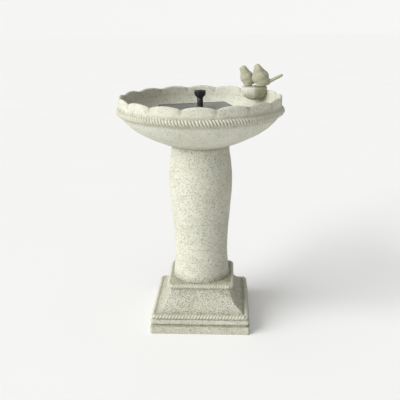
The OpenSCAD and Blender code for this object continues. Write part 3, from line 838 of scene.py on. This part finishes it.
def ball_mesh(parts, name):
    segments, rows = 28, 16
    points, faces = [], []
    for centre, radii, tilt, yaw in parts:
        turn = Matrix.Rotation(math.radians(yaw), 3, "Z") @ Matrix.Rotation(math.radians(tilt), 3, "Y")
        turn = np.array(turn)
        rings = []
        for k in range(1, rows):
            a = -math.pi / 2 + math.pi * k / rows
            rings.append([
                (math.cos(a) * math.cos(b), math.cos(a) * math.sin(b), math.sin(a))
                for b in np.linspace(0, 2 * math.pi, segments, endpoint=False)
            ])
        some, some_faces = skin(rings)
        some[-2], some[-1] = (0, 0, -1), (0, 0, 1)
        some = (some * np.array(radii)) @ turn.T + np.array(centre)
        start = sum(len(p) for p in points)
        points.append(some)
        faces += [[start + i for i in face] for face in some_faces]
    return mesh_object(name, np.vstack(points), faces)


def along(parts, stations, steps=5):
    """A chain of ellipsoids along a smooth line of (x, z, in-plane radius, side radius)."""
    line = spline([(x, z) for x, z, _, _ in stations], steps)
    sizes = spline([(a, b) for _, _, a, b in stations], steps)
    for (x, z), (a, b) in zip(line, sizes):
        ball(parts, (x, 0, z), (a, b, a))


def make_bird(name, at, base_z, height, head, head_x, body, tail, tail_lift):
    """A plump garden bird facing -X, resting on its belly on the perch."""
    parts = []
    top = height - head
    ball(parts, (head_x, 0, top), (head, 0.92 * head, head))
    # nape and shoulders, widening from the head down to the body
    for d in np.linspace(0.1, 1, 9):
        wide = head + (0.75 * body - head) * d
        ball(parts, (head_x * (1 - 0.6 * d), 0, top + (0.58 * height - top) * d),
             (wide, min(wide, 13.5), wide))
    ball(parts, (0.0, 0, 0.44 * height), (body, 14.0, 0.33 * height), -14)
    ball(parts, (0.22 * body, 0, 0.25 * height), (0.86 * body, 12.5, 0.23 * height), -6)
    ball(parts, (3, 0, 6), (0.66 * body, 11, 7))
    ball(parts, (0.55 * body, 0, 0.28 * height), (0.72 * body, 11, 0.19 * height), 24)
    # tail, thinning towards its tip
    lift = math.radians(tail_lift)
    root = np.array([0.88 * body, 0, 0.20 * height])
    away = np.array([math.cos(lift), 0, math.sin(lift)])
    for d in np.linspace(0, 1, 16):
        ball(parts, tuple(root + away * tail * d), (6, 7.0 - 1.0 * d, 4.9 - 0.7 * d), -tail_lift)
    # folded wings: three layers on each side
    for side in (-1, 1):
        ball(parts, (2, side * 11.5, 0.50 * height), (0.62 * body, 4.4, 9.5), 34, side * 6)
        ball(parts, (8, side * 11.2, 0.42 * height), (0.70 * body, 3.8, 7), 30, side * -2)
        ball(parts, (0.6 * body, side * 9.0, 0.34 * height), (0.55 * body, 2.8, 4.4), 22, side * -12)
        ball(parts, (head_x - 3.6, side * 0.78 * head, top + 1.5), (1.5, 1.2, 1.5))
    # beak
    for d in np.linspace(0, 1, 6):
        ball(parts, (head_x - head + 1.2 - 3.5 * d, 0, top + 0.5 - 0.8 * d),
             (2.0, 2.8 - 2.0 * d, 2.4 - 1.7 * d))
    made = ball_mesh(parts, name)
    remesh = made.modifiers.new("fuse", "REMESH")
    remesh.mode = "VOXEL"
    remesh.voxel_size = 0.75 * MM
    smooth = made.modifiers.new("soften", "SMOOTH")
    smooth.factor = 0.5
    smooth.iterations = 5
    apply_modifiers(made)
    mesh = made.data
    place = places(mesh)
    x, y, z = place.T
    wing = np.exp(-((z - 28) / 9) ** 2) * ease((np.abs(y) - 10) / 4) * ease((x - 2) / 6)
    barbs = 0.5 + 0.5 * np.sin((x * 0.62 + z * 0.78) * 1.3)
    # olive in the wing-feather grooves (also cut into the mesh below); painted shade low on the body and
    # towards the tail on +X, the side away from the key light, where the tail is also partly its own olive
    # grey; darker at the face and in a band at the nape
    wash_and_shade = 0.12 + 0.28 * ease((18 - z) / 18) + 0.55 * wing * (1 - barbs)
    wash_and_shade += 0.30 * ease((x - 2) / 18) + 0.25 * ease((head_x - 2 - x) / 8) * ease((z - 20) / 12)
    wash_and_shade += 0.30 * np.exp(-((z - 49) / 5) ** 2) * ease((x + 2) / 6)
    place *= (1 - 0.012 * (wing * (1 - barbs)))[:, None]
    place[:, 2] = np.maximum(place[:, 2], 0.0)
    placed = place + np.array([at[0], at[1], base_z])
    mesh.vertices.foreach_set("co", (placed * MM).astype(np.float32).ravel())
    mark(mesh, {"speckle": np.zeros(len(x)), "wash_and_shade": np.clip(wash_and_shade, 0, 1)})
    mesh.update()
    shade(made, 60)
    return made


# place on the perch, then head radius, head offset, half the body's length, tail length and the
# tail's slope in degrees
BIRDS = {
    "near_bird": ((168.6, 107.8), (8.3, -8.5, 24.5, 42, 27)),
    "far_bird": ((130.4, 127.0), (10.3, -9.5, 19.5, 26, 8)),
}


def make_birds():
    perch_top = node_box("perch")[1][2]
    for name, (at, shape) in BIRDS.items():
        height = node_box(name)[1][2] - perch_top
        made = make_bird(name + "_casting", at, perch_top, height, *shape)
        piece(made, "bowl", "bird_stone", name)


# ---------------------------------------------------------------- solar panel and nozzle


def turned_square(z, half, corner):
    ring = square_ring(z, half, corner)
    a = math.radians(PANEL_TURN)
    c, s = math.cos(a), math.sin(a)
    return np.stack([ring[:, 0] * c - ring[:, 1] * s, ring[:, 0] * s + ring[:, 1] * c, ring[:, 2]], 1)


def round_hole(z, radius):
    """A circle with as many points as a square ring, starting at the same corner."""
    count = 4 * (SIDE_STEPS + CORNER_STEPS)
    a = math.radians(PANEL_TURN - 135) + np.arange(count) * 2 * math.pi / count
    return np.stack([radius * np.cos(a), radius * np.sin(a), np.full(count, z)], 1)


FRAME_HALF = 98.5
GLASS_HALF = 96.3


def make_panel():
    low, high = node_box("panel_frame")
    bottom, top = low[2], high[2]
    half = FRAME_HALF
    rings = [
        turned_square(bottom + 2, half - 9, 3), turned_square(bottom + 2, half - 1.6, 4),
        turned_square(bottom + 0.3, half - 1.5, 4), turned_square(bottom, half - 1.2, 4),
        turned_square(bottom + 0.4, half - 0.3, 4), turned_square(bottom + 1, half, 4),
        turned_square(top - 1.2, half, 4), turned_square(top - 0.35, half - 0.3, 4),
        turned_square(top, half - 0.9, 4), turned_square(top - 0.05, half - 1.7, 3),
        turned_square(top - 0.4, half - 2.1, 3), turned_square(top - 2.2, half - 2.1, 3),
        turned_square(top - 2.2, half - 12, 3), turned_square(bottom + 2, half - 12, 3),
    ]
    border = mesh_object("panel_border", *skin(rings, wrap=True))
    shade(border, 35)
    piece(border, "fountain", "black_plastic", "panel_frame")
    low, high = node_box("panel_glass")
    bottom, top = low[2], high[2]
    half, hole = GLASS_HALF, 9.4
    rings = [
        round_hole(bottom, hole), turned_square(bottom, half - 0.3, 2.6),
        turned_square(bottom + 0.3, half, 2.6), turned_square(top - 0.5, half, 2.6),
        turned_square(top - 0.1, half - 0.4, 2.6), turned_square(top, half - 1, 2.6),
        round_hole(top, hole + 0.5), round_hole(top - 0.4, hole),
    ]
    glass = mesh_object("panel_cover", *skin(rings, wrap=True))
    shade(glass, 35)
    piece(glass, "fountain", "cover_glass", "panel_glass")


def make_nozzle():
    low, high = node_box("riser_tube")
    bottom, top = low[2], high[2]
    shoulder = node_box("spray_head")[0][2] - 0.3
    bore = 3.6
    outer = [(6.05, bottom), (8.0, bottom), (8.3, bottom + 0.5), (8.3, bottom + 5.2), (8.05, bottom + 5.6),
             (8.05, bottom + 6.1), (8.3, bottom + 6.5), (8.3, shoulder - 0.5), (8.0, shoulder),
             (5.6, shoulder), (5.4, shoulder + 0.3), (5.4, shoulder + 2.3), (4.4, shoulder + 2.4),
             (4.4, shoulder + 4.0), (5.4, shoulder + 4.1), (5.4, top - 0.6),
             (4.9, top), (bore + 0.2, top), (bore, top - 0.3), (bore, bottom + 12.3), (6.05, bottom + 12.2)]
    riser = mesh_object("riser_stem", *skin(lathe(outer, 72), wrap=True))
    shade(riser, 35)
    piece(riser, "riser", "black_plastic", "riser_tube")
    low, high = node_box("spray_head")
    bottom, top, rim = low[2], high[2], high[0]
    outer = [(5.45, bottom), (8.1, bottom), (8.4, bottom + 0.35), (rim - 1.5, bottom + 7.6),
             (rim - 1.1, bottom + 8.3), (rim - 0.9, bottom + 9.4), (rim - 0.45, bottom + 10.0),
             (rim - 0.1, top - 1.6), (rim, top - 0.9), (rim - 0.25, top - 0.25), (rim - 0.9, top),
             (rim - 3.3, top), (rim - 3.9, top - 0.5), (rim - 4, top - 3), (rim - 4, bottom + 11),
             (4.2, bottom + 11), (4.2, bottom + 7.6), (5.45, bottom + 7.5)]
    cap = mesh_object("spray_cup", *skin(lathe(outer, 96), wrap=True))
    shade(cap, 35)
    piece(cap, "spray_head", "black_plastic", "spray_head")


# ---------------------------------------------------------------- floor


def make_floor():
    """A level floor that rises very gently far away, so that it reaches past the horizon."""
    flat, reach, rise = 20000.0, 200000.0, math.radians(2.0)
    sides = 64
    rings = lathe([(flat / 2, 0.0), (flat, 0.0), (reach, (reach - flat) * math.tan(rise))], sides)
    faces = [list(range(sides))]
    for k in range(0, 2 * sides, sides):
        for i in range(sides):
            j = (i + 1) % sides
            faces.append([k + i, k + sides + i, k + sides + j, k + j])
    floor = mesh_object("floor", rings.reshape(-1, 3), faces)
    s = Shade("floor_paint")
    tone = s.noise(2.0, 2, 0.4)
    colour = s.mix(s.ramp(tone, 0.3, 0.7), (0.895, 0.895, 0.895), (0.905, 0.905, 0.905))
    floor.data.materials.append(s.finish(colour, 0.9, Specular_IOR_Level=0.0))


# ---------------------------------------------------------------- assembly

scene = bpy.context.scene
scene.view_settings.view_transform = "Standard"
scene.view_settings.look = "None"

make_camera()
make_world((1.0, 0.99, 0.97), 0.33)
make_sun("key", 60, 25, 3.3, 50, (1.0, 1.0, 1.0))
make_sun("top", 30, 80, 0.76, 90, (1.0, 1.0, 1.0))
make_floor()

materials = make_materials()
for slot_name, names in SLOT_NODES.items():
    for name in names:
        nodes[name].data.materials.clear()
        nodes[name].data.materials.append(materials[slot_name])

make_base()
make_column()
make_bowl()
make_perch()
make_birds()
make_panel()
make_nozzle()
